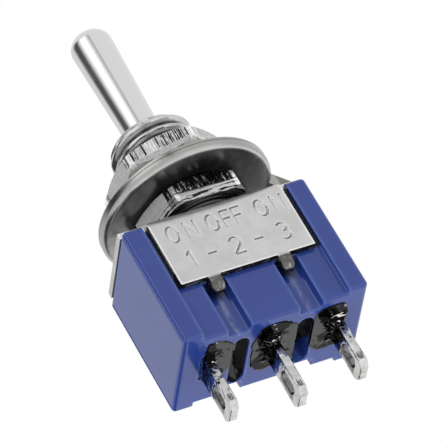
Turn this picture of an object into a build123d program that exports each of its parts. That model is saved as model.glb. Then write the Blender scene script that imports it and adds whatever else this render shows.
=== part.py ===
from build123d import *

import os
from math import acos, cos, degrees, radians, sin, sqrt, tan

# Miniature single-pole toggle switch, ON - OFF - ON, for a round panel hole.
# Lengths are in millimetres and angles in degrees.
#
# The pieces are drawn about the bushing's axis with z = 0 on the housing's top plate: X runs along
# the row of lugs, -Y is the marked front and +Z points along the bushing to the lever's tip.
# When they are written out they are moved down, so that the frame's origin is the panel seat, the
# upper face of the keyed washer on the bushing's axis.

# ---- clearances -------------------------------------------------------------------------------
hinge_gap = 0.05         # ball in its socket, plunger in its bore
pin_gap = 0.03           # pivot pin in the bushing's slots
touch_gap = 0.05         # plunger over the rocker, contact over contact
part_gap = 0.05          # between pieces that are only assembled side by side
thread_gap = 0.02        # nuts, washers and housing round the bushing
overcut = 1.0            # how far a cutting block runs past the face it opens

# ---- steel housing ----------------------------------------------------------------------------
sheet = 0.45
flap_end_gap = 0.38      # from a flap's end to the case's end rib
flap_drop = 5.85         # from the top plate to the flap's lower edge
bend_radius = 0.9        # outside of the fold
plate_width = 6.1        # of the top plate's two ends, along Y
tab_pitch = 5.0
tab_width = 1.0
tab_length = 0.9
tab_lean = 45.0
tab_neck = 0.2           # straight stretch before the tab's bend

# ---- moulded case -----------------------------------------------------------------------------
case_length = 13.2
case_width = 7.7
case_height = 9.55
rib_length = 1.4         # each end rib, along X
case_round = 0.3
pad_round = 0.22
edge_groove_width = 0.16
edge_groove_depth = 0.08
edge_groove_inset = 0.1
slot_pitch = 5.16
slot_width = 1.64
front_slot_depth = 0.7   # below the pads
back_slot_depth = 0.9
slot_round = 0.35
cavity_end_wall = 0.85
cavity_width = 3.5
cavity_depth = 6.55
floor_thickness = 1.2
pocket_margin = 0.2      # resin round each lug
pocket_round = 0.15
well_width = 1.2         # of the oval wells between the lugs
well_length = 4.6
well_depth = 1.5
well_offset = 0.15       # of the wells, along Y

# ---- bushing ----------------------------------------------------------------------------------
thread_radius = 3.0
bushing_height = 8.65
bushing_chamfer = 0.4
thread_pitch = 0.75
thread_depth = 0.4
thread_crest = 0.15      # flat on each ridge and in each groove
thread_lead = 0.87       # from the rim to the first groove
shoulder_radius = 3.4
shoulder_height = 0.25
spigot_radius = 2.5
rivet_radius = 2.72
rivet_height = 0.3
keyway_width = 1.2
keyway_depth = 0.45
mouth_radius = 2.12
neck_radius = 1.45
flare_start = 1.0        # height where the bore starts to widen downwards
flare_radius = 2.25

# ---- lever ------------------------------------------------------------------------------------
pivot_height = 6.0
lever_swing = 12.5       # each way
ball_radius = 1.9
lever_neck_radius = 1.05
lever_base_radius = 1.24
lever_base_height = 8.8
lever_tip_radius = 1.48
lever_height = 18.95
arm_radius = 0.6
sleeve_radius = 1.15
sleeve_start = 7.4       # below the pivot
sleeve_end = 9.9
sleeve_roof = 0.3
pin_radius = 0.35
pin_length = 4.4

# ---- plunger and its spring -------------------------------------------------------------------
plunger_radius = 0.6
plunger_grip = 1.0       # length held in the sleeve
wire_radius = 0.06
spring_turns = 4.5

# ---- rocker and contacts ----------------------------------------------------------------------
rocker_height = -5.6     # its knife-edge axis
rocker_ratio = 0.6       # rocker turn for each degree of lever, the other way
rocker_thickness = 0.5
rocker_width = 2.6
wing_margin = 0.6        # from the contacts' axis to the rocker's end
wing_height = 0.6        # the wings' underside above the rocker's axis
knuckle_radius = 0.5
saddle_gap = 0.05
saddle_lip = 0.25        # the saddle's top below the rocker's axis
contact_inset = 0.4      # of the contacts' axis from the outer lugs, inwards
contact_radius = 0.6
moving_contact_height = 0.35
dome_height = 0.2

# ---- terminals --------------------------------------------------------------------------------
lug_inset = 1.95         # from the case's end to the middle of an outer lug
lug_offset = -0.25       # of the row of lugs, along Y
lug_thickness = 0.6
lug_width = 2.0
lug_tip_chamfer = 0.4
outer_lug_end = -14.1
centre_lug_end = -14.65
eyelet_width = 0.9
eyelet_length = 1.8
eyelet_margin = 0.75     # from the lug's end to the eyelet
foot_height = 0.5        # of the terminals' heads on the cavity floor
foot_width = 2.6
outer_foot_length = 1.9
post_length = 1.9
dimple_width = 0.3
dimple_height = 0.55
dimple_depth = 0.15
dimple_rise = 0.55       # from the lug's end to the dimple
seal_recess = 0.05       # resin surface below the case's mouth

# ---- nuts and washers -------------------------------------------------------------------------
nut_flats = 7.95
nut_height = 2.0
nut_face_radius = 3.57
nut_chamfer_angle = 30.0
nut_bore_chamfer = 0.3
lower_nut_turn = 2.0
upper_nut_turn = 44.0
washer_radius = 6.2
washer_thickness = 0.8
washer_round = 0.45
key_width = 1.0
key_length = 0.35
ear_width = 1.25
ear_length = 1.9
ear_lean = 48.0
tooth_washer_radius = 5.05
tooth_ring_width = 0.95
tooth_thickness = 0.45
tooth_width = 1.3
tooth_twist = 46.0
tooth_count = 12

# ---- places worked out from the sizes above ---------------------------------------------------
pad_y = case_width / 2 - sheet
rib_x = case_length / 2 - rib_length
flap_length = 2 * (rib_x - flap_end_gap)
cavity_length = case_length - 2 * cavity_end_wall
lug_pitch = case_length / 2 - lug_inset
contact_x = lug_pitch - contact_inset
rocker_length = 2 * (contact_x + wing_margin)
case_top = -sheet
case_bottom = case_top - case_height
cavity_floor = case_top - cavity_depth
floor_bottom = cavity_floor - floor_thickness
front_slot_y = pad_y - front_slot_depth
back_slot_y = pad_y - back_slot_depth
lower_nut_z = shoulder_height
keyed_washer_z = lower_nut_z + nut_height
panel_seat = keyed_washer_z + washer_thickness
tooth_rise = tooth_width * sin(radians(tooth_twist)) + tooth_thickness * cos(radians(tooth_twist))
upper_nut_z = panel_seat + tooth_rise
socket_radius = ball_radius + hinge_gap
seat_height = pivot_height + sqrt(socket_radius**2 - neck_radius**2)
sleeve_bore = plunger_radius + hinge_gap
rocker_swing = rocker_ratio * lever_swing
# The plunger's round tip sits over the rocker's bowed top, with the touch gap between them.
rocker_top = rocker_height + rocker_thickness
tip_height = rocker_top + touch_gap + plunger_radius
tip_reach = pivot_height - tip_height
spring_top = pivot_height - sleeve_start - sleeve_roof
plunger_top = pivot_height - sleeve_end + plunger_grip
# A closed contact pair keeps the touch gap under the tilted rocker's wing.
button_bottom = wing_height - moving_contact_height
closed_height = (rocker_height - contact_x * sin(radians(rocker_swing))
                 + button_bottom * cos(radians(rocker_swing)))
fixed_contact_top = closed_height - touch_gap
foot_top = cavity_floor + foot_height
post_top = rocker_height - saddle_lip
pin_slot_reach = pin_length / 2 + pin_gap
rivet_bottom = -sheet - rivet_height
lugs = {
    "left": (-lug_pitch, outer_lug_end),
    "centre": (0.0, centre_lug_end),
    "right": (lug_pitch, outer_lug_end),
}


def box(x0, x1, y0, y1, z0, z1):
    """A block between three pairs of faces."""
    return Pos((x0 + x1) / 2, (y0 + y1) / 2, (z0 + z1) / 2) * Box(x1 - x0, y1 - y0, z1 - z0)


def rod(radius, z0, z1):
    """A round bar on the Z axis."""
    return Pos(0, 0, (z0 + z1) / 2) * Cylinder(radius, z1 - z0)


def cross_rod(radius, length, z):
    """A round bar along Y through the Z axis."""
    return Pos(0, 0, z) * Rot(90, 0, 0) * Cylinder(radius, length)


def turned(outline):
    """A turned piece from its half outline in (radius, z)."""
    return revolve(Plane.XZ * make_face(outline.edges()), Axis.Z)


def along_x(outline, length):
    """A prism of an outline in (y, z), centred on x = 0."""
    return extrude(Plane.YZ * make_face(outline.edges()), amount=length / 2, both=True)


def along_y(outline, length):
    """A prism of an outline in (x, z), centred on y = 0."""
    return extrude(Plane.XZ * make_face(outline.edges()), amount=length / 2, both=True)


def ball(radius, z):
    """A ball centred on the Z axis."""
    return Pos(0, 0, z) * Sphere(radius)


def closed(*points):
    """A closed outline with straight sides."""
    return Polyline(*points, close=True)


def arc_about(centre, radius, start, end):
    """A circular arc between two angles in degrees."""
    angles = [radians(a) for a in (start, (start + end) / 2, end)]
    points = [(centre[0] + radius * cos(a), centre[1] + radius * sin(a)) for a in angles]
    return ThreePointArc(*points)


# ---- housing ----------------------------------------------------------------------------------
def fold_section():
    """Half of the folded sheet in (y, z): one flap, the fold and half of the top plate."""
    reach = case_width / 2
    centre = (reach - bend_radius, -bend_radius)
    inner_radius = bend_radius - sheet
    outside = Line((reach, -flap_drop), (reach, centre[1])) + arc_about(centre, bend_radius, 0, 90)
    plate = Polyline((centre[0], 0), (0, 0), (0, -sheet), (centre[0], -sheet))
    inside = arc_about(centre, inner_radius, 90, 0)
    flap = Polyline((reach - sheet, centre[1]), (reach - sheet, -flap_drop), (reach, -flap_drop))
    return outside + plate + inside + flap


def tab_section():
    """A tab below the flap's edge in (y, z), bent in under the case's shoulder."""
    lean = radians(tab_lean)
    reach = case_width / 2
    foot = -flap_drop - tab_neck
    tip = (reach - tab_length * sin(lean), foot - tab_length * cos(lean))
    return closed(
        (reach, -flap_drop + sheet),
        (reach, foot),
        tip,
        (tip[0] - sheet * cos(lean), tip[1] + sheet * sin(lean)),
        (reach - sheet, foot + sheet * tan(lean / 2)),
        (reach - sheet, -flap_drop + sheet),
    )


def make_housing():
    """One folded sheet: top plate, two flaps and four bent tabs."""
    side = along_x(fold_section(), flap_length)
    for x in (-tab_pitch / 2, tab_pitch / 2):
        side += Pos(x, 0, 0) * along_x(tab_section(), tab_width)
    plate = box(-case_length / 2, case_length / 2, -plate_width / 2, plate_width / 2, -sheet, 0)
    shell = side + mirror(side, Plane.XZ) + plate
    return shell - rod(spigot_radius + thread_gap, -2 * sheet, sheet)


# ---- case -------------------------------------------------------------------------------------
def case_core():
    """The case between its end ribs, rounded on top to sit inside the fold."""
    outline = Rectangle(2 * pad_y, case_height)
    outline = fillet(outline.vertices().sort_by(Axis.Y)[2:], bend_radius - sheet + part_gap)
    outline = fillet(outline.vertices().sort_by(Axis.Y)[:2], pad_round)
    outline = Plane.YZ * Pos(0, (case_top + case_bottom) / 2) * outline
    return extrude(outline, amount=rib_x + case_round, both=True)


def end_rib():
    """The full-width block at the +X end, rounded outside, with a fine line beside each corner."""
    end = case_length / 2
    block = box(rib_x, end, -case_width / 2, case_width / 2, case_bottom, case_top)
    block = fillet(block.edges().filter_by(lambda e: e.center().X > rib_x + part_gap), case_round)
    for side in (-1, 1):
        y = side * (case_width / 2 - case_round - edge_groove_inset)
        block -= box(
            end - edge_groove_depth, end + overcut,
            y - edge_groove_width / 2, y + edge_groove_width / 2,
            case_bottom + case_round, case_top - case_round,
        )
    return block


def wall_slot(x, floor_y, side):
    """A slot below the flap, open at the bottom, where the tabs reach in under a shoulder."""
    plan = Rectangle(slot_width, case_width)
    corners = plan.vertices().sort_by(Axis.Y)
    plan = fillet(corners[:2] if side > 0 else corners[2:], slot_round)
    plan = Pos(x, side * (floor_y + case_width / 2), case_bottom - overcut) * plan
    return extrude(plan, amount=overcut - case_bottom - flap_drop)


def pocket_room(name, bottom, top):
    """The room of the resin round one lug, between two heights."""
    plan = RectangleRounded(lug_thickness + 2 * pocket_margin, lug_width + 2 * pocket_margin,
                            pocket_round)
    return extrude(Pos(lugs[name][0], lug_offset, bottom) * plan, amount=top - bottom)


def well(x):
    """An oval well in the bottom, halfway between two lugs."""
    plan = Pos(x, well_offset, case_bottom - overcut) * SlotOverall(well_length, well_width, 90)
    return extrude(plan, amount=well_depth + overcut)


def blade_room(x, bottom, top):
    """The straight room that a terminal's blade takes."""
    half_x = lug_thickness / 2
    half_y = lug_width / 2
    return box(x - half_x, x + half_x, lug_offset - half_y, lug_offset + half_y, bottom, top)


def make_case():
    """The moulded case: ribs, pads, slots and wells outside, the contact room inside."""
    case = case_core() + end_rib() + mirror(end_rib(), Plane.YZ)
    for x in (-slot_pitch / 2, slot_pitch / 2):
        case -= wall_slot(x, front_slot_y, -1)
        case -= wall_slot(x, back_slot_y, 1)
    case -= box(-cavity_length / 2, cavity_length / 2, -cavity_width / 2, cavity_width / 2,
                cavity_floor, case_top + overcut)
    case -= rod(rivet_radius + part_gap, rivet_bottom - part_gap, case_top + overcut)
    for name, (x, _) in lugs.items():
        case -= pocket_room(name, case_bottom - overcut, floor_bottom)
        case -= blade_room(x, floor_bottom - overcut, cavity_floor + overcut)
    for side in (-1, 1):
        case -= well(side * lug_pitch / 2)
    return case


# ---- bushing ----------------------------------------------------------------------------------
def thread_outline():
    """The thread as plain rings in (radius, z), from the shoulder up to the rim's chamfer."""
    first = bushing_height - thread_lead
    count = int((first - shoulder_height) / thread_pitch)
    root_radius = thread_radius - thread_depth
    mouth = (thread_pitch - thread_crest) / 2
    points = []
    for i in reversed(range(count)):
        z = first - i * thread_pitch
        points += [
            (thread_radius, z - mouth),
            (root_radius, z - thread_crest / 2),
            (root_radius, z + thread_crest / 2),
            (thread_radius, z + mouth),
        ]
    return points


def make_bushing():
    """The bushing with its thread, turned in one piece, riveted over under the top plate."""
    rim = thread_radius - bushing_chamfer
    wall = Polyline(
        (socket_radius, pivot_height),
        (socket_radius, flare_start),
        (flare_radius, rivet_bottom),
        (rivet_radius, rivet_bottom),
        (rivet_radius, -sheet),
        (spigot_radius, -sheet),
        (spigot_radius, 0),
        (shoulder_radius, 0),
        (shoulder_radius, shoulder_height),
        (thread_radius, shoulder_height),
        *thread_outline(),
        (thread_radius, bushing_height - bushing_chamfer),
        (rim, bushing_height),
        (mouth_radius, bushing_height),
        (neck_radius, seat_height),
    )
    seat = arc_about((0, pivot_height), socket_radius, degrees(acos(neck_radius / socket_radius)), 0)
    body = turned(wall + seat)
    half = pin_radius + pin_gap
    slots = box(-half, half, -pin_slot_reach, pin_slot_reach, rivet_bottom - overcut,
                pivot_height)
    slots += cross_rod(half, 2 * pin_slot_reach, pivot_height)
    keyway = box(thread_radius - keyway_depth, thread_radius + overcut, -keyway_width / 2,
                 keyway_width / 2, shoulder_height, bushing_height + overcut)
    return body - slots - keyway


# ---- lever, plunger and spring ----------------------------------------------------------------
def make_lever():
    """The lever: round tip, tapered bat, pivot ball, arm and the sleeve for the plunger."""
    tip_centre = lever_height - lever_tip_radius
    sleeve_top = pivot_height - sleeve_start
    sleeve_bottom = pivot_height - sleeve_end
    arm_angle = degrees(acos(arm_radius / ball_radius))
    neck_angle = degrees(acos(lever_neck_radius / ball_radius))
    tip = arc_about((0, tip_centre), lever_tip_radius, 90, 0)
    bat = Polyline(
        (lever_tip_radius, tip_centre),
        (lever_base_radius, lever_base_height),
        (lever_neck_radius, pivot_height + ball_radius * sin(radians(neck_angle))),
    )
    pivot_ball = arc_about((0, pivot_height), ball_radius, neck_angle, -arm_angle)
    arm = Polyline(
        (arm_radius, pivot_height - ball_radius * sin(radians(arm_angle))),
        (arm_radius, sleeve_top),
        (sleeve_radius, sleeve_top),
        (sleeve_radius, sleeve_bottom),
        (sleeve_bore, sleeve_bottom),
        (sleeve_bore, spring_top),
        (0, spring_top),
        (0, lever_height),
    )
    body = turned(tip + bat + pivot_ball + arm)
    return body - cross_rod(pin_radius, 3 * ball_radius, pivot_height)


def make_pivot_pin():
    """The cross pin through the lever's ball, its ends in the bushing's slots."""
    pin = cross_rod(pin_radius, pin_length, pivot_height)
    return chamfer(pin.edges().filter_by(GeomType.CIRCLE), pin_radius / 4)


def make_plunger():
    """The sprung plunger with its round tip on the rocker."""
    side = Line((plunger_radius, tip_height), (plunger_radius, plunger_top))
    top = Polyline((plunger_radius, plunger_top), (0, plunger_top), (0, tip_height - plunger_radius))
    return turned(arc_about((0, tip_height), plunger_radius, -90, 0) + side + top)


def make_plunger_spring():
    """The coil spring between the sleeve's roof and the plunger."""
    rise = spring_top - plunger_top - 2 * wire_radius
    coil_radius = plunger_radius - 2 * wire_radius
    path = Helix(rise / spring_turns, rise, coil_radius)
    wire = Plane(origin=path @ 0, z_dir=path % 0) * Circle(wire_radius)
    return Pos(0, 0, plunger_top + wire_radius) * sweep(wire, path)


# ---- rocker and contacts ----------------------------------------------------------------------
def bowl_radius():
    """Radius of the rocker's bowed top, which the plunger's tip follows from end to end."""
    turn = radians(rocker_swing)
    swing = radians(lever_swing)
    reach = pivot_height - rocker_height
    tip_x = tip_reach * sin(swing + turn) - reach * sin(turn)
    rise = reach * cos(turn) - tip_reach * cos(swing + turn) - (reach - tip_reach)
    return (tip_x**2 + rise**2) / (2 * rise) + plunger_radius + touch_gap


def make_rocker():
    """The contact bridge: a bowed strip with two flat wings and a round knuckle underneath."""
    inner = bowl_radius()
    outer = inner + rocker_thickness
    centre = (0, rocker_top + inner)
    wing_bottom = rocker_height + wing_height
    wing_top = wing_bottom + rocker_thickness
    top_angle = degrees(acos((centre[1] - wing_top) / inner))
    bottom_angle = degrees(acos((centre[1] - wing_bottom) / outer))
    end = rocker_length / 2
    top_x = inner * sin(radians(top_angle))
    bottom_x = outer * sin(radians(bottom_angle))
    bowl = arc_about(centre, inner, top_angle - 90, -top_angle - 90)
    back = arc_about(centre, outer, -bottom_angle - 90, bottom_angle - 90)
    left = Polyline((-top_x, wing_top), (-end, wing_top), (-end, wing_bottom), (-bottom_x, wing_bottom))
    right = Polyline((bottom_x, wing_bottom), (end, wing_bottom), (end, wing_top), (top_x, wing_top))
    strip = along_y(bowl + left + back + right, rocker_width)
    return strip + cross_rod(knuckle_radius, rocker_width, rocker_height)


def make_moving_contact(side):
    """The contact button under one wing of the rocker."""
    wing_bottom = rocker_height + wing_height
    button = rod(contact_radius, wing_bottom - moving_contact_height, wing_bottom)
    return Pos(side * contact_x, 0, 0) * button


def make_fixed_contact(side):
    """The domed contact on an outer terminal's head."""
    base = fixed_contact_top - dome_height
    dome_radius = (contact_radius**2 + dome_height**2) / (2 * dome_height)
    dome = ball(dome_radius, fixed_contact_top - dome_radius)
    blank = rod(contact_radius, foot_top, fixed_contact_top)
    button = blank & (dome + rod(2 * contact_radius, foot_top, base))
    return Pos(side * contact_x, 0, 0) * button


# ---- terminals and resin ----------------------------------------------------------------------
def make_terminal(name):
    """A stamped lug with its eyelet, and its head on the floor of the contact room."""
    x, end = lugs[name]
    half_y = lug_width / 2
    cut = lug_tip_chamfer
    outline = closed(
        (lug_offset - half_y, cavity_floor),
        (lug_offset - half_y, end + cut),
        (lug_offset - half_y + cut, end),
        (lug_offset + half_y - cut, end),
        (lug_offset + half_y, end + cut),
        (lug_offset + half_y, cavity_floor),
    )
    blade = Pos(x, 0, 0) * along_x(outline, lug_thickness)
    eyelet_z = end + eyelet_margin + eyelet_length / 2
    hole = extrude(Plane.YZ * SlotOverall(eyelet_length, eyelet_width, 90), amount=lug_thickness,
                   both=True)
    blade -= Pos(x, lug_offset, eyelet_z) * hole
    dimple_z = end + dimple_rise + dimple_height / 2
    dimple_y = lug_offset - half_y
    blade -= box(
        x - dimple_width / 2, x + dimple_width / 2,
        dimple_y - overcut, dimple_y + dimple_depth,
        dimple_z - dimple_height / 2, dimple_z + dimple_height / 2,
    )
    if name == "centre":
        return blade + centre_post()
    side = -1 if x < 0 else 1
    foot_x = side * (contact_x + lug_pitch) / 2
    half_foot = outer_foot_length / 2
    return blade + box(foot_x - half_foot, foot_x + half_foot, -foot_width / 2, foot_width / 2,
                       cavity_floor, foot_top)


def centre_post():
    """The centre terminal's head, with the saddle that the rocker's knuckle turns in."""
    half = post_length / 2
    post = box(-half, half, -foot_width / 2, foot_width / 2, cavity_floor, post_top)
    return post - cross_rod(knuckle_radius + saddle_gap, 2 * foot_width, rocker_height)


def make_seal(name):
    """The cast resin round one lug, filling its pocket to just below the mouth."""
    x = lugs[name][0]
    surface = case_bottom + seal_recess
    blade = blade_room(x, surface - overcut, floor_bottom + overcut)
    return pocket_room(name, surface, floor_bottom) - blade


# ---- nuts and washers -------------------------------------------------------------------------
def make_nut(z, turn):
    """A hexagon nut, chamfered on both faces."""
    far = nut_flats
    rise = (far - nut_face_radius) * tan(radians(nut_chamfer_angle))
    envelope = turned(closed(
        (0, 0), (nut_face_radius, 0), (far, rise), (far, nut_height - rise),
        (nut_face_radius, nut_height), (0, nut_height),
    ))
    hexagon = extrude(Rot(0, 0, turn) * RegularPolygon(nut_flats / 2, 6, major_radius=False),
                      amount=nut_height)
    nut = hexagon & envelope
    bore = thread_radius + thread_gap
    nut -= rod(bore, -overcut, nut_height + overcut)
    for edge_z, far_z in ((0, nut_bore_chamfer), (nut_height, nut_height - nut_bore_chamfer)):
        nut -= turned(closed((0, edge_z), (bore + nut_bore_chamfer, edge_z), (bore, far_z), (0, far_z)))
    return Pos(0, 0, z) * nut


def ear_section():
    """The locating ear's outline in (x, z): the washer's rim bent down at a lean."""
    lean = radians(ear_lean)
    bend = washer_radius - key_length / 2
    tip = (bend + ear_length * cos(lean), washer_thickness - ear_length * sin(lean))
    return closed(
        (bend - ear_length, 0),
        (bend - ear_length, washer_thickness),
        (bend, washer_thickness),
        tip,
        (tip[0] - washer_thickness * sin(lean), tip[1] - washer_thickness * cos(lean)),
        (bend - washer_thickness * tan(lean / 2), 0),
    )


def make_keyed_washer():
    """The locating washer: a key inside for the bushing's keyway, an ear outside bent down."""
    disc = rod(washer_radius, 0, washer_thickness)
    disc = fillet(disc.edges().group_by(Axis.Z)[0], washer_round)
    disc += along_y(ear_section(), ear_width)
    disc -= rod(thread_radius + thread_gap, -overcut, washer_thickness + overcut)
    disc += box(thread_radius - key_length, thread_radius + key_length, -key_width / 2,
                key_width / 2, 0, washer_thickness)
    return Pos(0, 0, keyed_washer_z) * disc


def make_tooth_washer():
    """The lock washer: a flat ring with twisted teeth inside."""
    root = tooth_washer_radius - tooth_ring_width
    start = thread_radius + 2 * part_gap
    half = tooth_thickness / 2
    ring = rod(tooth_washer_radius, -half, half) - rod(root, -overcut, overcut)
    tooth = box(start, root + tooth_ring_width / 4, -tooth_width / 2, tooth_width / 2, -half, half)
    tooth = Rot(tooth_twist, 0, 0) * tooth
    for i in range(tooth_count):
        ring += Rot(0, 0, 360 * i / tooth_count) * tooth
    return Pos(0, 0, panel_seat + tooth_rise / 2) * ring


# ---- the whole switch -------------------------------------------------------------------------
def make_all():
    """Every piece by name, drawn about the housing's top plate."""
    pieces = {
        "case": make_case(),
        "housing": make_housing(),
        "bushing": make_bushing(),
        "lever": make_lever(),
        "pivot_pin": make_pivot_pin(),
        "plunger": make_plunger(),
        "plunger_spring": make_plunger_spring(),
        "rocker": make_rocker(),
        "moving_contact_left": make_moving_contact(-1),
        "moving_contact_right": make_moving_contact(1),
        "fixed_contact_left": make_fixed_contact(-1),
        "fixed_contact_right": make_fixed_contact(1),
        "lower_nut": make_nut(lower_nut_z, lower_nut_turn),
        "keyed_washer": make_keyed_washer(),
        "tooth_washer": make_tooth_washer(),
        "upper_nut": make_nut(upper_nut_z, upper_nut_turn),
    }
    for name in lugs:
        pieces["terminal_" + name] = make_terminal(name)
        pieces["seal_" + name] = make_seal(name)
    return pieces


os.makedirs("parts", exist_ok=True)
for piece_name, piece in make_all().items():
    export_step(Pos(0, 0, -panel_seat) * piece, "parts/" + piece_name + ".step")
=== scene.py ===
import math

import bmesh
import bpy
from mathutils import Matrix, Vector, noise


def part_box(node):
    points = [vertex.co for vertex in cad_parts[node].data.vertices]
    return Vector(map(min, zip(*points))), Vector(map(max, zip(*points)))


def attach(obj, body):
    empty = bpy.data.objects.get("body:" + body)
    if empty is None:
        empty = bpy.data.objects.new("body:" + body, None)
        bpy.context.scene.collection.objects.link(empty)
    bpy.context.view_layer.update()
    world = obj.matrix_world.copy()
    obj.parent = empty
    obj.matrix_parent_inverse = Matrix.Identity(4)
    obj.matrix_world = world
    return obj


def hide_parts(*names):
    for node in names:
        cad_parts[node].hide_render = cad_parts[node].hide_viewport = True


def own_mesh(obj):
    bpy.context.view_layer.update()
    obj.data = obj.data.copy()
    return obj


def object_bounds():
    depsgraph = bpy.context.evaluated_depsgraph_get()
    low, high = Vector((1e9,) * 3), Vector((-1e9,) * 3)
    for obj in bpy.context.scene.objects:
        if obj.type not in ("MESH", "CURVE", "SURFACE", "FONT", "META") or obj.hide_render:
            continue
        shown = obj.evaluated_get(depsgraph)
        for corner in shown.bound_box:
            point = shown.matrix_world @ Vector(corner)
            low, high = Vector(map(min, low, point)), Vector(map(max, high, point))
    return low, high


# Looks of a miniature toggle switch: blue moulded case, folded and stamped steel housing, turned
# bushing with its nuts and washers, plated lever, tinned soldering lugs and the cast resin.
# Lengths in this script are millimetres and become metres where a piece is made.

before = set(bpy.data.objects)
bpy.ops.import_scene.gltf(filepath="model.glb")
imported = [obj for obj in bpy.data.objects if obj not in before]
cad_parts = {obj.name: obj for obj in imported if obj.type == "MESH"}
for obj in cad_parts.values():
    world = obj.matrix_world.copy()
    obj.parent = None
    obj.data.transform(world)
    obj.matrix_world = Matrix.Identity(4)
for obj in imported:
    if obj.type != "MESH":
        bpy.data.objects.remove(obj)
cad_low, cad_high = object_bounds()

MM = 0.001


# ---- sizes taken from the frame --------------------------
def span(node):
    """Lowest and highest corner of a CAD node in millimetres."""
    low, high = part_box(node)
    return low / MM, high / MM


bushing_low, bushing_high = span("bushing")
housing_low, housing_high = span("housing")
case_low, case_high = span("case")
sheet = 0.45                         # thickness of the housing's steel
plate_top = housing_high.z           # upper face of the housing's top plate
shoulder_height = 0.25               # of the bushing's shoulder, above the plate
shoulder_top = plate_top + shoulder_height
slot_x = 2.58                        # middle of a slot in the case's wall
tab_x = 2.5                          # middle of a tab of the housing
seal_low, seal_high = span("seal_right")
lug_pitch = (seal_low.x + seal_high.x) / 2
outer_lug_end = span("terminal_right")[0].z
centre_lug_end = span("terminal_centre")[0].z


# ---- node trees ------------------------------------------
def math_node(operation, turned=False):
    """A method of Field that adds one Math node, with its values turned round if asked."""
    def method(self, *others):
        values = (self, *others)[::-1] if turned else (self, *others)
        return self.tree.node("ShaderNodeMath", {"operation": operation}, dict(enumerate(values)))
    return method


class Field:
    """A socket that takes part in sums. Each operator adds one Math node."""

    def __init__(self, tree, socket):
        self.tree, self.socket = tree, socket

    __add__ = __radd__ = math_node("ADD")
    __sub__, __rsub__ = math_node("SUBTRACT"), math_node("SUBTRACT", turned=True)
    __mul__ = __rmul__ = math_node("MULTIPLY")
    __truediv__, __pow__ = math_node("DIVIDE"), math_node("POWER")
    lowest, highest = math_node("MINIMUM"), math_node("MAXIMUM")
    size, fraction, rounded = math_node("ABSOLUTE"), math_node("FRACT"), math_node("ROUND")
    remainder = math_node("MODULO")
    sine, cosine = math_node("SINE"), math_node("COSINE")
    angle_to = math_node("ARCTAN2")      # of the point (other, self) round the origin

    def above(self, start, end):
        """0 below start, 1 above end and smooth between."""
        return self.tree.node("ShaderNodeMapRange", {"interpolation_type": "SMOOTHSTEP"},
                              {"Value": self, "From Min": start, "From Max": end})

    def below(self, start, end):
        """1 below start, 0 above end and smooth between."""
        return 1.0 - self.above(start, end)

    def between(self, start, end, soft):
        """1 between start and end, 0 outside, with soft borders inside."""
        return self.above(start, start + soft) * self.below(end - soft, end)


class Tree:
    """A node tree that is written as sums of fields."""

    def __init__(self, tree):
        self.tree = tree

    def node(self, kind, settings=(), sockets=(), output=0):
        """Adds a node, gives it its settings and then its sockets' values or links."""
        made = self.tree.nodes.new(kind)
        for key, value in dict(settings).items():
            setattr(made, key, value)
        for key, value in dict(sockets).items():
            socket = made.inputs[key]
            if isinstance(value, Field):
                self.tree.links.new(value.socket, socket)
            else:
                socket.default_value = value
        return Field(self, made.outputs[output]) if made.outputs else None

    def parts(self, vector):
        """The three numbers of a vector."""
        split = self.node("ShaderNodeSeparateXYZ", (), {0: vector})
        return [Field(self, s) for s in split.socket.node.outputs]

    def joined(self, x, y, z):
        return self.node("ShaderNodeCombineXYZ", (), {0: x, 1: y, 2: z})

    def scaled(self, vector, scale):
        return self.node("ShaderNodeVectorMath", {"operation": "SCALE"},
                         {0: vector, "Scale": scale})

    def grain(self, vector, scale, detail=3.0, roughness=0.55, stretch=None):
        """Noise about 0.5 at a number of lumps per millimetre, stretched along the axes."""
        if stretch:
            vector = self.node("ShaderNodeVectorMath", {"operation": "MULTIPLY"},
                               {0: vector, 1: stretch})
        return self.node("ShaderNodeTexNoise", (), {"Vector": vector, "Scale": scale,
                         "Detail": detail, "Roughness": roughness})


class Rule(Tree):
    """A shape's rule as Geometry Nodes, with its sizes in millimetres as named inputs."""

    def __init__(self, name, **sizes):
        super().__init__(bpy.data.node_groups.new(name, "GeometryNodeTree"))
        sockets = self.tree.interface
        sockets.new_socket("Blank", in_out="INPUT", socket_type="NodeSocketGeometry")
        self.values = {}
        for key, value in sizes.items():
            made = sockets.new_socket(key.replace("_", " ").capitalize(), in_out="INPUT",
                                      socket_type="NodeSocketFloat")
            self.values[made.identifier] = value
        sockets.new_socket("Piece", in_out="OUTPUT", socket_type="NodeSocketGeometry")
        given = self.tree.nodes.new("NodeGroupInput").outputs
        self.blank = Field(self, given[0])
        for key, socket in zip(sizes, list(given)[1:]):
            setattr(self, key, Field(self, socket))

    def position(self):
        return self.node("GeometryNodeInputPosition")

    def moved(self, geometry, offset):
        return self.node("GeometryNodeSetPosition", (), {"Geometry": geometry, "Offset": offset})

    def noted(self, geometry, name, value):
        """Keeps a number for every point, for the finish to read."""
        return self.node("GeometryNodeStoreNamedAttribute", {"data_type": "FLOAT"},
                         {"Geometry": geometry, "Name": name, "Value": value})

    def worked(self, form, geometry, finish):
        """Ends the tree, runs it on a blank, and gives the real mesh back as a bmesh."""
        real = self.node("GeometryNodeRealizeInstances", (), {0: geometry})
        real = self.node("GeometryNodeSetMaterial", (),
                         {"Geometry": real, "Material": finishes[finish]})
        self.node("NodeGroupOutput", (), {0: real})
        blank = mesh_object("blank", form)
        rule = blank.modifiers.new("rule", "NODES")
        rule.node_group = self.tree
        for identifier, value in self.values.items():
            rule[identifier] = float(value)
        return evaluated(blank)


# ---- mesh helpers ----------------------------------------
def linked(name, data):
    """A new object in the scene."""
    made = bpy.data.objects.new(name, data)
    bpy.context.scene.collection.objects.link(made)
    return made


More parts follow.
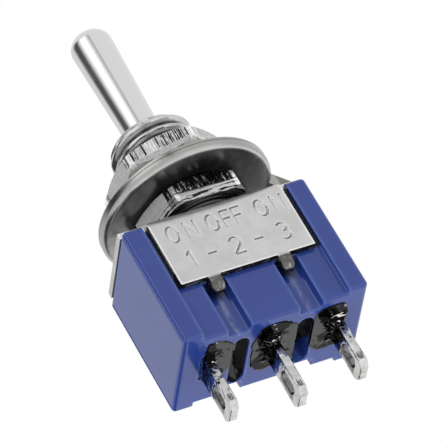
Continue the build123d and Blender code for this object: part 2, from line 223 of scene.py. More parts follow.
def mesh_object(name, form):
    """A plain object of a bmesh in millimetres, for use as a tool or a blank."""
    mesh = bpy.data.meshes.new(name)
    form.to_mesh(mesh)
    form.free()
    return linked(name, mesh)


def evaluated(blank, *tools):
    """The bmesh that a blank's modifiers make. The blank and the tools are used up."""
    depsgraph = bpy.context.evaluated_depsgraph_get()
    made = bpy.data.meshes.new_from_object(blank.evaluated_get(depsgraph))
    blank.modifiers.clear()
    form = bmesh.new()
    form.from_mesh(made)
    bpy.data.meshes.remove(made)
    for used in (blank, *tools):
        mesh = used.data
        bpy.data.objects.remove(used)
        bpy.data.meshes.remove(mesh)
    return form


def cut(form, tool):
    """Takes the tool's volume out of a form. Both are bmeshes, and so is the result."""
    blank, cutter = mesh_object("blank", form), mesh_object("cutter", tool)
    modifier = blank.modifiers.new("cut", "BOOLEAN")
    modifier.operation, modifier.object, modifier.solver = "DIFFERENCE", cutter, "EXACT"
    modifier.use_self = True
    return evaluated(blank, cutter)


def solid_from(node):
    """A merged copy of a CAD node's mesh, in millimetres."""
    form = bmesh.new()
    form.from_mesh(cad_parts[node].data)
    bmesh.ops.scale(form, vec=(1 / MM,) * 3, verts=form.verts)
    bmesh.ops.remove_doubles(form, verts=form.verts, dist=0.0005)
    bmesh.ops.dissolve_limit(form, angle_limit=math.radians(0.2), verts=form.verts,
                             edges=form.edges)
    return form


def block(low, high):
    """A box between two corners, as a bmesh."""
    form = bmesh.new()
    bmesh.ops.create_cube(form, size=1)
    size = [h - l for l, h in zip(low, high)]
    middle = [(h + l) / 2 for l, h in zip(low, high)]
    bmesh.ops.transform(form, matrix=Matrix.Translation(middle) @ Matrix.Diagonal((*size, 1)),
                        verts=form.verts)
    return form


def skinned(rings, ends=False):
    """A bmesh over rings of points. The last ring joins the first, or the ends are closed."""
    form = bmesh.new()
    made = [[form.verts.new(p) for p in ring] for ring in rings]
    for a, b in zip(made, made[1:] if ends else made[1:] + made[:1]):
        for k in range(len(a)):
            n = (k + 1) % len(a)
            form.faces.new((a[k], a[n], b[n], b[k]))
    if ends:
        form.faces.new(made[0][::-1])
        form.faces.new(made[-1])
    bmesh.ops.recalc_face_normals(form, faces=form.faces)
    return form


def joined(*forms):
    """Several bmeshes as one."""
    whole = bmesh.new()
    for form in forms:
        mesh = bpy.data.meshes.new("part")
        form.to_mesh(mesh)
        form.free()
        whole.from_mesh(mesh)
        bpy.data.meshes.remove(mesh)
    return whole


def piece(name, form, finish, sharp, *stands_for, body="switch_body"):
    """Makes a piece of a body of a bmesh in millimetres, in place of CAD nodes.

    Edges sharper than an angle in degrees stay sharp."""
    bmesh.ops.scale(form, vec=(MM, MM, MM), verts=form.verts)
    limit = math.radians(sharp)
    for edge in form.edges:
        edge.smooth = len(edge.link_faces) == 2 and edge.calc_face_angle(0) < limit
    for face in form.faces:
        face.smooth = True
        face.material_index = 0
    made = mesh_object(name, form)
    made.data.name = name
    made.data.materials.clear()
    made.data.materials.append(finishes[finish])
    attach(made, body)
    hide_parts(*stands_for)
    return made


# ---- finishes --------------------------------------------
class Finish(Tree):
    """One material."""

    def __init__(self, name):
        self.material = bpy.data.materials.new(name)
        self.material.use_nodes = True
        super().__init__(self.material.node_tree)
        self.tree.nodes.clear()

    def place(self):
        """Position on the piece in millimetres, as a vector."""
        return self.scaled(self.node("ShaderNodeTexCoord", output="Object"), 1 / MM)

    def axes(self):
        """Position in millimetres, as a vector and as its three numbers."""
        at = self.place()
        return at, *self.parts(at)

    def facing(self):
        """The three numbers of the surface's direction."""
        return self.parts(self.node("ShaderNodeNewGeometry", output="Normal"))

    def colour(self, mask, low, high):
        """A colour between two, by a mask."""
        return self.node("ShaderNodeMix", {"data_type": "RGBA"},
                         {"Factor": mask, 6: low if isinstance(low, Field) else (*low, 1),
                          7: high if isinstance(high, Field) else (*high, 1)}, output=2)

    def bump(self, height, distance, strength=1.0, normal=None):
        """A normal from a height in millimetres."""
        sockets = {"Height": height, "Distance": distance * MM, "Strength": strength}
        if normal:
            sockets["Normal"] = normal
        return self.node("ShaderNodeBump", (), sockets)

    def soft_edges(self, radius):
        """The surface's normal with its edges rounded to a radius in millimetres."""
        return self.node("ShaderNodeBevel", {"samples": 6}, {"Radius": radius * MM})

    def edge_mask(self, radius):
        """1 along the edges, 0 away from them."""
        true = self.node("ShaderNodeNewGeometry", output="Normal")
        near = self.node("ShaderNodeVectorMath", {"operation": "DOT_PRODUCT"},
                         {0: self.soft_edges(radius), 1: true}, output="Value")
        return 1.0 - near.above(0.84, 0.985)

    def surface(self, **sockets):
        """Ends the tree in one surface shader."""
        names = {key.replace("_", " ").title().replace("Ior", "IOR"): value
                 for key, value in sockets.items()}
        return self.ended(self.node("ShaderNodeBsdfPrincipled", (), names, output="BSDF"))

    def metal(self, colour, rough, normal):
        return self.surface(base_color=colour, metallic=1.0, roughness=rough, normal=normal)

    def ended(self, shader):
        self.node("ShaderNodeOutputMaterial", (), {"Surface": shader})
        return self.material


def blue_plastic():
    """Glossy injection-moulded plastic with a fine flow texture, with painted highlights and
    painted shade.
    """
    f = Finish("blue_plastic")
    at, x, y, z = f.axes()
    cloud = f.grain(at, 0.35, 2)
    skin = f.grain(at, 9.0, 3)
    colour = f.colour(cloud.above(0.3, 0.7), (0.0175, 0.042, 0.218), (0.0205, 0.047, 0.242))
    # painted highlight: a pale, slightly rougher streak down the middle of each slot's floor stands
    # in for its reflection
    slot_middle = 1.0 - ((x.size() - slot_x).size()).above(0.05, 0.32)
    slot_near = 1.0 - ((x.size() - tab_x).size()).above(0.5, 0.62)
    in_slot = y.above(case_low.y + 1.05, case_low.y + 1.1) * y.below(-2.6, -2.5)
    painted_streak = slot_middle * in_slot * f.grain(at, 1.6, 4, 0.7, (2.2, 1.0, 0.5)).above(0.36, 0.66)
    colour = f.colour(painted_streak * 0.75, colour, (0.17, 0.21, 0.35))
    # painted highlight: the edges are coloured paler blue, in patches
    edge = f.edge_mask(0.45) * f.grain(at, 1.1, 3).above(0.15, 0.5)
    colour = f.colour(edge * 0.8, colour, (0.075, 0.135, 0.43))
    # painted shade under the housing's flap and tabs
    painted_darkening = y.between(-4.6, -2.4, 0.1) * (z - housing_low.z).above(-0.6, 0.15)
    painted_darkening = painted_darkening * (z - housing_low.z).below(1.3, 1.35) * slot_near
    # behind and beside the flaps hardly any light gets in
    inside = (case_high.y - y.size()).between(0.12, 2.0, 0.06) * x.size().below(6.0, 6.1)
    painted_darkening = painted_darkening.highest(inside * (z - housing_low.z).above(0.75, 1.0))
    colour = f.colour(painted_darkening * 0.9, colour, (0.003, 0.004, 0.012))
    rough = 0.12 + skin.above(0.3, 0.75) * 0.07 + painted_streak * 0.2
    normal = f.bump(skin, 0.004, 0.5, f.soft_edges(0.09))
    return f.surface(base_color=colour, roughness=rough, normal=normal)


def housing_steel():
    """Satin tin-plated sheet with a rolled grain, dark sheared edges, painted highlights along its
    rims and stamped strokes with painted shade on one flank and a painted highlight on the other."""
    f = Finish("housing_steel")
    at, _, y, z = f.axes()
    out_x, out_y, out_z = f.facing()
    rolled = f.grain(at, 7.0, 4, 0.6, (0.25, 1.0, 1.0))
    speck = f.grain(at, 16.0, 2)
    cloud = f.grain(at, 0.9, 3)
    stain = f.grain(at, 3.2, 4, 0.65)
    colour = f.colour(cloud.above(0.3, 0.75), (0.54, 0.54, 0.535), (0.61, 0.61, 0.605))
    # the tabs are coloured darker towards their ends, and darker still in patches
    low = z.below(housing_low.z + 0.75, housing_low.z + 0.9)
    sheared = out_x.size().above(0.8, 0.95).highest((0.0 - out_z).above(0.8, 0.95))
    sheared = sheared * z.below(plate_top - 0.6, plate_top - 0.5)
    dark_tab_patches = low * stain.above(0.30, 0.50)
    stamped = (y - housing_low.y).above(0.015, 0.05) * y.below(-3.6, -3.55)
    stamped = stamped * z.between(plate_top - 4.8, plate_top - 1.0, 0.1)
    colour = f.colour(low * 0.6, colour, (0.20, 0.195, 0.18))
    colour = f.colour(dark_tab_patches, colour, (0.115, 0.112, 0.108))
    colour = f.colour(sheared, colour, f.colour(stain.above(0.5, 0.62), (0.03, 0.03, 0.03),
                                                (0.26, 0.26, 0.25)))
    # painted highlight: white along the rims of the front and back faces, but not low on the tabs
    rim = f.edge_mask(0.32) * out_y.size().above(0.75, 0.9)
    colour = f.colour(rim * (1.0 - low), colour, (0.95, 0.95, 0.95))
    # painted shade on the strokes' flanks that face +X and down, painted highlight on those that
    # face -X and up
    lean = out_x - out_z
    colour = f.colour(stamped * lean.above(0.1, 0.5) * 0.8, colour, (0.09, 0.09, 0.09))
    colour = f.colour(stamped * (0.0 - lean).above(0.1, 0.5) * 0.8, colour, (0.92, 0.92, 0.92))
    rough = 0.34 + rolled.above(0.3, 0.7) * 0.12 + sheared * 0.15
    normal = f.bump(rolled * 0.7 + speck * 0.45 + dark_tab_patches * stain, 0.012, 0.6, f.soft_edges(0.08))
    return f.metal(colour, rough, normal)


def bushing_nickel():
    """Nickel plating over turned brass, with fine lines round the axis."""
    f = Finish("bushing_nickel")
    at, x, y, z = f.axes()
    reach = (x * x + y * y) ** 0.5
    lines = f.grain(f.joined(reach * 6.0, 0.0, z * 6.0), 2.5, 3)
    cloud = f.grain(at, 0.8, 3)
    speck = f.grain(at, 14.0, 2)
    colour = f.colour(cloud.above(0.35, 0.7), (0.48, 0.48, 0.475), (0.58, 0.58, 0.575))
    # painted shade: the thread's grooves and the shoulder under the lower nut are coloured nearly
    # black
    groove = z.between(shoulder_top + 0.1, bushing_high.z - 0.45, 0.1)
    groove = groove * reach.below(2.64, 2.84) * reach.above(2.5, 2.55)
    shoulder = z.below(shoulder_top + 0.02, shoulder_top + 0.06)
    colour = f.colour(groove.highest(shoulder) * 0.9, colour, (0.035, 0.035, 0.035))
    rough = 0.1 + speck.above(0.35, 0.8) * 0.13
    normal = f.bump(lines, 0.010, 0.7, f.soft_edges(0.04))
    return f.metal(colour, rough, normal)


def lever_chrome():
    """Bright chrome with a few hairline scratches along the lever."""
    f = Finish("lever_chrome")
    at = f.place()
    hair = f.grain(at, 5.0, 3, 0.6, (3.0, 3.0, 0.12))
    cloud = f.grain(at, 0.5, 2)
    rough = 0.15 + cloud.above(0.4, 0.8) * 0.06
    normal = f.bump(hair, 0.0015, 0.5)
    return f.metal((0.66, 0.66, 0.66, 1), rough, normal)


def nut_nickel():
    """Nickel-plated nut, dark where the broach tore its flats and where shade is painted on them.
    The attribute of tears and painted light is below 0 on the painted-highlight strips by the
    corners."""
    f = Finish("nut_nickel")
    at, x, y, z = f.axes()
    reach = (x * x + y * y) ** 0.5
    lines = f.grain(f.joined(reach * 5.0, 0.0, z * 5.0), 2.0, 3)
    speck = f.grain(at, 9.0, 3)
    torn_and_painted_light = f.node("ShaderNodeAttribute", {"attribute_name": "torn_and_painted_light"}, output="Fac")
    satin = f.node("ShaderNodeAttribute", {"attribute_name": "satin"}, output="Fac")
    colour = f.colour(speck.above(0.3, 0.75), (0.56, 0.56, 0.555), (0.64, 0.64, 0.635))
    under = (0.0 - f.facing()[2]).above(0.7, 0.85) * (0.0 - z).above(0.8, 0.9)
    arcs = f.grain(f.joined(reach * 3.0, x * 0.2, z * 3.0), 2.2, 4, 0.65)
    colour = f.colour(under, colour, f.colour(arcs.above(0.40, 0.62), (0.07, 0.07, 0.07),
                                              (0.62, 0.62, 0.62)))
    # dark where torn, and painted shade on the flats
    colour = f.colour(torn_and_painted_light.above(0.3, 0.7), colour, (0.025, 0.025, 0.025))
    # painted highlight on the strips beside the corners
    colour = f.colour((0.0 - torn_and_painted_light).above(0.3, 0.7), colour, (0.95, 0.95, 0.94))
    rough = 0.16 + speck.above(0.4, 0.7) * 0.14 + torn_and_painted_light.highest(0.0) * 0.1 + satin * 0.45
    normal = f.bump(lines, 0.01, 0.5, f.soft_edges(0.04))
    return f.metal(colour, rough, normal)


def washer_nickel():
    """Smooth nickel-plated washer, with the blanking line round its rim."""
    f = Finish("washer_nickel")
    at, x, y, z = f.axes()
    reach = (x * x + y * y) ** 0.5
    cloud = f.grain(at, 0.7, 3)
    speck = f.grain(at, 12.0, 3)
    colour = f.colour(cloud.above(0.3, 0.7), (0.50, 0.50, 0.495), (0.60, 0.60, 0.595))
    line = z.between(-0.24, -0.14, 0.03) * reach.above(6.1, 6.15)
    colour = f.colour(line * speck.above(0.2, 0.45), colour, (0.04, 0.04, 0.04))
    # painted shade: the back is dark, and darker towards +X
    back = (0.0 - f.facing()[2]).above(0.80, 0.99) * z.above(-0.9, -0.85)
    painted_back_shade = f.colour((x * 0.8 - y * 0.1).above(-5.2, 0.8), (0.30, 0.30, 0.295),
                    (0.085, 0.085, 0.085))
    colour = f.colour(back, colour, f.colour(cloud.above(0.45, 0.75), painted_back_shade, (0.16, 0.16, 0.155)))
    colour = f.colour(reach.above(6.35, 6.6), colour, (0.20, 0.195, 0.17))
    side = 1.0 - f.facing()[2].size().above(0.6, 0.9)
    colour = f.colour(side * 0.55, colour, (0.20, 0.20, 0.195))
    rough = 0.17 + cloud.above(0.3, 0.8) * 0.1 + back * 0.12
    normal = f.bump(f.grain(at, 1.2, 2) + speck * 0.04, 0.02, 0.4)
    return f.metal(colour, rough, normal)


def lug_place(x):
    """1 at the outer lugs and 0 at the centre one, and the way across to the lug's middle."""
    outer = x.size().above(2.0, 2.1)
    return outer, (x.size() - outer * lug_pitch).size()


def lug_silver():
    """Hot-tinned lugs: bright and rippled, with painted dark reflections in patches, more towards
    the resin.
    """
    f = Finish("lug_silver")
    at, x, y, z = f.axes()
    patch = f.grain(at, 1.7, 4, 0.65)
    fine = f.grain(at, 8.0, 4, 0.7)
    near = (case_low.z - z).below(0.3, 2.4)
    # painted reflection: dark patches and fine dark specks stand for the rippled tin's dark
    # reflections, more of them near the resin
    painted_dark_reflection = (patch + near * 0.14).above(0.62, 0.67)
    painted_darkening = fine.above(0.58, 0.64) * (patch + near * 0.1).above(0.52, 0.62)
    colour = f.colour(patch.above(0.3, 0.6), (0.66, 0.66, 0.65), (0.50, 0.50, 0.49))
    outer, across = lug_place(x)
    up = z - (outer * outer_lug_end + (1.0 - outer) * centre_lug_end)
    # painted shade in a dimple on the lug's front
    dimple = across.below(0.09, 0.2) * up.between(0.5, 1.12, 0.14) * y.below(-1.1, -1.0)
    dimple = dimple * fine.above(0.34, 0.5)
    # at the root only level bands of tin show between the black resin
    root = (case_low.z - z + (patch - 0.5) * 2.2 + x.size() * 0.05).below(0.8, 1.2)
    bands = f.grain(at, 1.0, 2, 0.6, (2.0, 1.2, 6.0)).above(0.53, 0.57)
    dark = painted_dark_reflection.highest(painted_darkening * 0.7).highest(dimple * 0.75).highest(root * (1.0 - bands))
    # painted shade on the eyelet's walls and round its rim
    painted_eyelet_shade = up.between(0.68, 2.62, 0.08) * (y - 0.05).size().below(0.42, 0.56)
    colour = f.colour(painted_eyelet_shade * 0.75, colour, (0.09, 0.09, 0.088))
    colour = f.colour(dark, colour, (0.03, 0.029, 0.028))
    rough = 0.08 + fine.above(0.4, 0.75) * 0.14
    normal = f.bump(patch * 0.7 + fine * 0.3, 0.035, 0.6)
    return f.metal(colour, rough, normal)


def resin_black():
    """Cast epoxy: grey where it lies as a film, with flecks of tin and painted black reflection
    round the lugs.
    """
    f = Finish("resin_black")
    at, x, y, _ = f.axes()
    skin = f.grain(at, 3.0, 3)
    _, across = lug_place(x)
    # painted reflection: round the lugs, patches are coloured black and made metallic so they show
    # no grey sheen
    painted_black = (f.grain(at, 0.8, 4, 0.6) + 0.22 - across * 0.2).above(0.50, 0.54)
    fleck = f.grain(at, 3.2, 2, 0.5, (0.7, 2.0, 1.6)).above(0.635, 0.66)
    fleck = fleck * across.below(0.4, 0.6) * y.below(-0.6, 0.0)
    colour = f.colour(skin.above(0.35, 0.7), (0.006, 0.006, 0.006), (0.016, 0.0155, 0.015))
    colour = f.colour(fleck, f.colour(painted_black, colour, (0.004, 0.004, 0.004)), (0.7, 0.7, 0.69))
    # outside the left lug, painted shade: the resin is coloured the dark blue of the case in the
    # lug's shade
    painted_blue_shade = (0.0 - x).above(lug_pitch + 0.28, lug_pitch + 0.32)
    colour = f.colour(painted_blue_shade, colour, (0.012, 0.03, 0.16))
    rough = 0.07 + skin.above(0.4, 0.8) * 0.08
    normal = f.bump(skin, 0.01, 0.4)
    return f.surface(base_color=colour, metallic=painted_black.highest(fleck) * (1.0 - painted_blue_shade),
                     roughness=rough, normal=normal)


def plain_finish(name, tint, metallic, rough, lumps=6.0):
    """The finish of a small inner piece, with a light uneven surface."""
    f = Finish(name)
    grain = f.grain(f.place(), lumps, 3)
    colour = f.colour(grain.above(0.3, 0.7), [c * 0.85 for c in tint], tint)
    return f.surface(base_color=colour, metallic=metallic, roughness=rough + grain * 0.1,
                     normal=f.bump(grain, 0.01, 0.4))


finishes = {make.__name__: make() for make in (
    blue_plastic, housing_steel, bushing_nickel, lever_chrome, nut_nickel, washer_nickel,
    lug_silver)}
for name, tint, metallic, rough in (
        ("contact_silver", (0.82, 0.81, 0.78), 1.0, 0.25),
        ("rocker_brass", (0.78, 0.55, 0.25), 1.0, 0.25),
        ("plunger_plastic", (0.78, 0.76, 0.70), 0.0, 0.35),
        ("spring_steel", (0.55, 0.54, 0.52), 1.0, 0.25)):
    finishes[name] = plain_finish(name, tint, metallic, rough)
finishes["resin_black"] = resin_black()
node_finishes = {
    "case": "blue_plastic", "pivot_pin": "spring_steel", "plunger": "plunger_plastic",
    "rocker": "rocker_brass", "keyed_washer": "washer_nickel"}
for kind in ("moving", "fixed"):
    for side in ("left", "right"):
        node_finishes[f"{kind}_contact_{side}"] = "contact_silver"


# ---- bushing: turned, with its thread --------------------
thread_radius = 3.0
bushing_segments = 120
thread_steps = 150
bushing_rim_radius = 2.6
rim_chamfer = 0.4
pivot_height = 6.0           # of the lever's ball, above the plate
socket_radius = 1.95
neck_radius = 1.45
flare_start = 1.0            # height where the bore starts to widen downwards
flare_radius = 2.25
spigot_radius = 2.5
rivet_radius = 2.72
shoulder_radius = 3.4
shoulder_break = 0.06
mouth_radius = 2.1
mouth_break = 0.05
mouth_taper = 0.6
mouth_depth = 1.2
mouth_steps = 8
keyway_floor = 2.55          # from the axis
keyway_half_width = 0.6
pin_slot_half_width = 0.38
pin_slot_reach = 2.23


def turned_rings(outline, segments):
    """Rings of points round the axis for an outline in (radius, z)."""
    angles = [2 * math.pi * k / segments for k in range(segments)]
    return [[(r * math.cos(a), r * math.sin(a), z) for a in angles] for r, z in outline]


def make_bushing():
    """The bushing, open at both ends, with a helical thread, a keyway and the pin's slots."""
    top, bottom = bushing_high.z, bushing_low.z
    pivot = plate_top + pivot_height
    shoulder_edge = shoulder_radius - shoulder_break
    outline = [(socket_radius, pivot), (socket_radius, plate_top + flare_start),
               (flare_radius, bottom), (rivet_radius, bottom), (rivet_radius, plate_top - sheet),
               (spigot_radius, plate_top - sheet), (spigot_radius, plate_top),
               (shoulder_edge, plate_top), (shoulder_radius, plate_top + shoulder_break),
               (shoulder_radius, shoulder_top - shoulder_break), (shoulder_edge, shoulder_top)]
    length = top - 0.02 - shoulder_top
    outline += [(thread_radius, shoulder_top + length * i / thread_steps)
                for i in range(thread_steps + 1)]
    outline += [(bushing_rim_radius - 0.04, top), (mouth_radius + 0.06, top),
                (mouth_radius, top - mouth_break)]
    outline += [(mouth_radius - mouth_taper * i / mouth_steps,
                 top - mouth_break - mouth_depth * i / mouth_steps) for i in range(mouth_steps + 1)]
    outline += [(neck_radius, pivot + 1.25)]
    leans = [math.radians(42 - 6 * i) for i in range(7)]
    outline += [(socket_radius * math.cos(lean), pivot + socket_radius * math.sin(lean))
                for lean in leans]
    blank = skinned(turned_rings(outline, bushing_segments))

    rule = Rule("thread", pitch=0.75, depth=0.4, crest=0.2, root=0.12, radius=thread_radius,
                start=shoulder_top, run_in=0.4, top=top, rim_radius=bushing_rim_radius,
                chamfer=rim_chamfer)
    x, y, z = rule.parts(rule.position())
    reach = (x * x + y * y) ** 0.5
    turn = (z / rule.pitch - y.angle_to(x) / (2 * math.pi)).fraction()
    away = (turn - 0.5).size() * 2.0        # 1 in the middle of a ridge, 0 in a groove
    ridge = (away - rule.root) / (1.0 - rule.crest - rule.root)
    groove = 1.0 - ridge.highest(0.0).lowest(1.0)
    fade = (z - rule.start - 0.1).above(0.0, rule.run_in)
    slope = (rule.radius - rule.rim_radius) / rule.chamfer
    cone = rule.rim_radius + (rule.top - z) * slope
    wanted = (rule.radius - rule.depth * groove * fade).lowest(cone)
    on_thread = reach.above(2.98, 2.99) * z.above(shoulder_top + 0.01, shoulder_top + 0.02)
    on_thread = on_thread * reach.below(3.01, 3.02)
    pull = (wanted / reach - 1.0) * on_thread
    form = rule.worked(blank, rule.moved(rule.blank, rule.joined(x * pull, y * pull, 0.0)),
                       "bushing_nickel")
    form = cut(form, block((keyway_floor, -keyway_half_width, shoulder_top),
                           (4.0, keyway_half_width, top + 1)))
    form = cut(form, block((-pin_slot_half_width, -pin_slot_reach, bottom - 1),
                           (pin_slot_half_width, pin_slot_reach, pivot + 0.2)))
    piece("bushing_threaded", form, "bushing_nickel", 40, "bushing")


# ---- lever and its spring --------------------------------
lever_tip_radius = 1.48
tip_flatness = 0.8


def make_lever():
    """The lever, with its round tip pressed flatter."""
    form = solid_from("lever")
    shoulder = span("lever")[1].z - lever_tip_radius
    for point in form.verts:
        if point.co.z > shoulder:
            point.co.z = shoulder + (point.co.z - shoulder) * tip_flatness
    piece("lever_blunt", form, "lever_chrome", 30, "lever", body="toggle")


def make_coil():
    """The plunger's spring, which shortens towards the lever as the plunger slides up."""
    coil = piece("spring_coil", solid_from("plunger_spring"), "spring_steel", 60, "plunger_spring",
                 body="toggle")
    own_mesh(coil)


# ---- nuts with torn flats --------------------------------
nut_flats = 7.95
nut_face_radius = 3.57
nut_chamfer_slope = math.tan(math.radians(30))
nut_bore = 3.02
nut_bore_chamfer = 0.3
flat_columns = 120
flat_rows = 30


def nut_blank(low, high, turn, low_face):
    """A hexagon nut, chamfered on both faces, with a fine net of points on its flats.

    The radius where the chamfer starts on the lower face is given."""
    half_side = nut_flats / 2 / math.sqrt(3)
    columns = []
    for flat in range(6):
        for k in range(flat_columns):
            along = half_side * (2 * k / flat_columns - 1)
            angle = math.radians(turn + 30 + 60 * flat) + math.atan2(along, nut_flats / 2)
            columns.append((math.hypot(along, nut_flats / 2), angle))
    height = high - low
    rings = []

    def ring(radius_and_z):
        points = []
        for corner, angle in columns:
            radius, z = radius_and_z(corner)
            points.append((radius * math.cos(angle), radius * math.sin(angle), z))
        rings.append(points)

    def chamfer_rise(corner):
        return (corner - nut_face_radius) * nut_chamfer_slope

    def low_start(corner):
        return min(low_face, corner - 0.04)

    def low_rise(corner):
        return (corner - low_start(corner)) * nut_chamfer_slope

    ring(lambda corner: (nut_bore, low + nut_bore_chamfer))
    ring(lambda corner: (nut_bore + nut_bore_chamfer, low))
    for share in (0.0, 0.5):
        ring(lambda corner, s=share: (low_start(corner) + (corner - low_start(corner)) * s,
                                      low + low_rise(corner) * s))
    for row in range(flat_rows + 1):
        share = row / flat_rows
        ring(lambda corner, s=share: (corner, low + low_rise(corner)
                                      + (height - low_rise(corner) - chamfer_rise(corner)) * s))
    for share in (0.5, 0.0):
        ring(lambda corner, s=share: (nut_face_radius + (corner - nut_face_radius) * s,
                                      high - chamfer_rise(corner) * s))
    ring(lambda corner: (nut_bore + nut_bore_chamfer, high))
    ring(lambda corner: (nut_bore, high - nut_bore_chamfer))
    return skinned(rings)


def make_nut(name, node, turn, low_face, stain, calm, seed):
    """A nut. One flat, given by its direction in degrees, has tears and painted shade beside its
    corners only.
    """
    low, high = span(node)
    blank = nut_blank(low.z, high.z, turn, low_face)
    rule = Rule("torn flats", across=nut_flats, turn=math.radians(turn + 30), bottom=low.z,
                height=high.z - low.z, smooth_share=0.36, mark_depth=0.085, mark_width=0.075,
                stain=stain, calm=math.radians(calm), corner_strip=0.3, seed=seed)
    x, y, z = rule.parts(rule.position())
    sector = math.pi / 3
    number = ((y.angle_to(x) - rule.turn) / sector).rounded()
    middle = number * sector + rule.turn
    out = x * middle.cosine() + y * middle.sine()
    along = y * middle.cosine() - x * middle.sine()
    up = (z - rule.bottom) / rule.height
    on_flat = (out - rule.across / 2).size().below(0.005, 0.02)
    wave = rule.grain(rule.joined(along * 1.3, up * 2.5, rule.seed + number), 1.0, 2)
    # the tears are upright, lean with the wave and stop at an uneven border
    marks = rule.grain(rule.joined(along / rule.mark_width + wave * 1.2, up * 0.35,
                                   rule.seed + number * 9.0), 1.0, 3, 0.6)
    border = rule.smooth_share + (wave - 0.5) * 0.08
    zone = (up - border).above(0.0, 0.05) * up.below(0.90, 0.97)
    amount = rule.grain(rule.joined(along * 0.7, rule.seed, number * 5.0), 1.0, 1)
    amount = (amount + along * 0.06).above(0.36, 0.52)
    # beside each corner a strip stays smooth, with one deep line at its border
    from_corner = rule.across / (2 * math.sqrt(3)) - along.size()
    strip = from_corner.below(rule.corner_strip, rule.corner_strip + 0.03)
    line = from_corner.between(rule.corner_strip - 0.05, rule.corner_strip + 0.06, 0.03)
    quiet = (middle - rule.calm).cosine().above(0.6, 0.9) * from_corner.above(0.7, 0.8)
    amount = amount * (1.0 - quiet)
    tear = marks.above(0.48, 0.55) * zone * on_flat * (0.25 + amount * 0.75) * (1.0 - strip)
    scratch = rule.grain(rule.joined(along * 9.0, up * 3.0 + along * 2.0, rule.seed), 1.0, 2)
    # painted shade on the flats: dark, broken by bright scratches; none where the nut's size for it
    # is 0
    painted_shade_and_lines = zone * on_flat * rule.stain * scratch.below(0.56, 0.62) * (1.0 - strip)
    painted_shade_and_lines = painted_shade_and_lines * (1.0 - quiet)
    # under the tears the flats are drawn in fine level lines
    drawn = rule.grain(rule.joined(along * 0.6, up * 9.0, rule.seed), 1.0, 2).above(0.46, 0.54)
    drawn = drawn * rule.stain * on_flat * up.below(border - 0.1, border - 0.06)
    painted_shade_and_lines = painted_shade_and_lines.highest(drawn)
    tear = tear.highest(line * zone * on_flat)
    ledge = zone * on_flat * 0.18
    # painted highlight on the smooth strips beside the corners
    bright = strip * on_flat * up.above(0.05, 0.1) * (1.0 - line)
    depth = (tear + ledge) * rule.mark_depth * -1.0
    noted = rule.noted(rule.noted(rule.blank, "torn_and_painted_light", tear.highest(painted_shade_and_lines) - bright),
                       "satin", quiet * on_flat)
    shape = rule.moved(noted,
                       rule.joined(middle.cosine() * depth, middle.sine() * depth, 0.0))
    piece(name, rule.worked(blank, shape, "nut_nickel"), "nut_nickel", 22, node)


# ---- lock washer with twisted teeth ----------------------
tooth_count = 12
ring_inner_radius = 4.1
ring_half_thickness = 0.225
ring_break = 0.05
ring_segments = 96


def make_lock_washer():
    """A flat ring with twisted teeth set round its inside."""
    low, high = span("tooth_washer")
    middle = (low.z + high.z) / 2
    inner, outer = ring_inner_radius, high.x
    half, ease = ring_half_thickness, ring_break
    outline = [(inner, middle - half), (outer - ease, middle - half), (outer, middle - half + ease),
               (outer, middle + half - ease), (outer - ease, middle + half), (inner, middle + half)]
    ring = skinned(turned_rings(outline, ring_segments))
    rule = Rule("twisted teeth", count=tooth_count, twist=math.radians(46), reach=1.2,
                width=1.3, thickness=2 * half, circle=3.7, height=middle)
    tooth = rule.node("GeometryNodeMeshCube", (), {"Size": rule.joined(rule.reach, rule.width,
                                                                        rule.thickness)})
    circle = rule.node("GeometryNodeMeshLine", {"mode": "OFFSET"},
                       {"Count": tooth_count, "Start Location": (0, 0, 0), "Offset": (0, 0, 0)})
    index = rule.node("GeometryNodeInputIndex")
    turn = index * (2 * math.pi) / rule.count
    placed = rule.moved(circle, rule.joined(turn.cosine() * rule.circle,
                                            turn.sine() * rule.circle, rule.height))
    teeth = rule.node("GeometryNodeInstanceOnPoints", (),
                      {"Points": placed, "Instance": tooth,
                       "Rotation": rule.joined(rule.twist, 0.0, turn)})
    both = rule.node("GeometryNodeJoinGeometry", (), {0: rule.blank})
    rule.tree.links.new(teeth.socket, both.socket.node.inputs[0])
    piece("lock_washer", rule.worked(ring, both, "washer_nickel"), "washer_nickel", 30,
          "tooth_washer")


# ---- tinned lugs -----------------------------------------
lug_voxel = 0.055


def make_lug(name, seed):
    """A terminal with its edges rounded and its faces rippled by the tin."""
    node = "terminal_" + name
    blank = mesh_object("blank", solid_from(node))
    skin = blank.modifiers.new("skin", "REMESH")
    skin.mode, skin.voxel_size, skin.use_smooth_shade = "VOXEL", lug_voxel, True
    form = evaluated(blank)
    rule = Rule("tinned ripple", large=0.05, fine=0.014, seed=seed)
    at = rule.position()
    x, y, z = rule.parts(at)
    wave = rule.grain(rule.joined(x, y, z + rule.seed), 1.1, 2)
    ripple = rule.grain(rule.joined(x, y, z + rule.seed), 3.0, 1)
    swell = (wave - 0.55) * rule.large * 2.0 + (ripple - 0.5) * rule.fine * 2.0
    normal = rule.node("GeometryNodeInputNormal")
    shape = rule.moved(rule.blank, rule.scaled(normal, swell.lowest(0.012)))
    piece("lug_" + name, rule.worked(form, shape, "lug_silver"), "lug_silver", 180, node)


# ---- housing: folded sheet with stamped words ------------
stroke_width = 0.18
stroke_depth = 0.11
letter_height = 1.35
tab_width = 0.88
tab_bend_radius = 1.3
tab_bend = 46.0


def oval(x, z, width, height, steps=20):
    """A closed oval as a line of points."""
    return [(x + width / 2 * math.cos(2 * math.pi * i / steps),
             z + height / 2 * math.sin(2 * math.pi * i / steps)) for i in range(steps + 1)]


def arc(x, z, width, height, start, end, steps=10):
    """A part of an oval between two angles in degrees."""
    angles = [math.radians(start + (end - start) * i / steps) for i in range(steps + 1)]
    return [(x + width / 2 * math.cos(a), z + height / 2 * math.sin(a)) for a in angles]


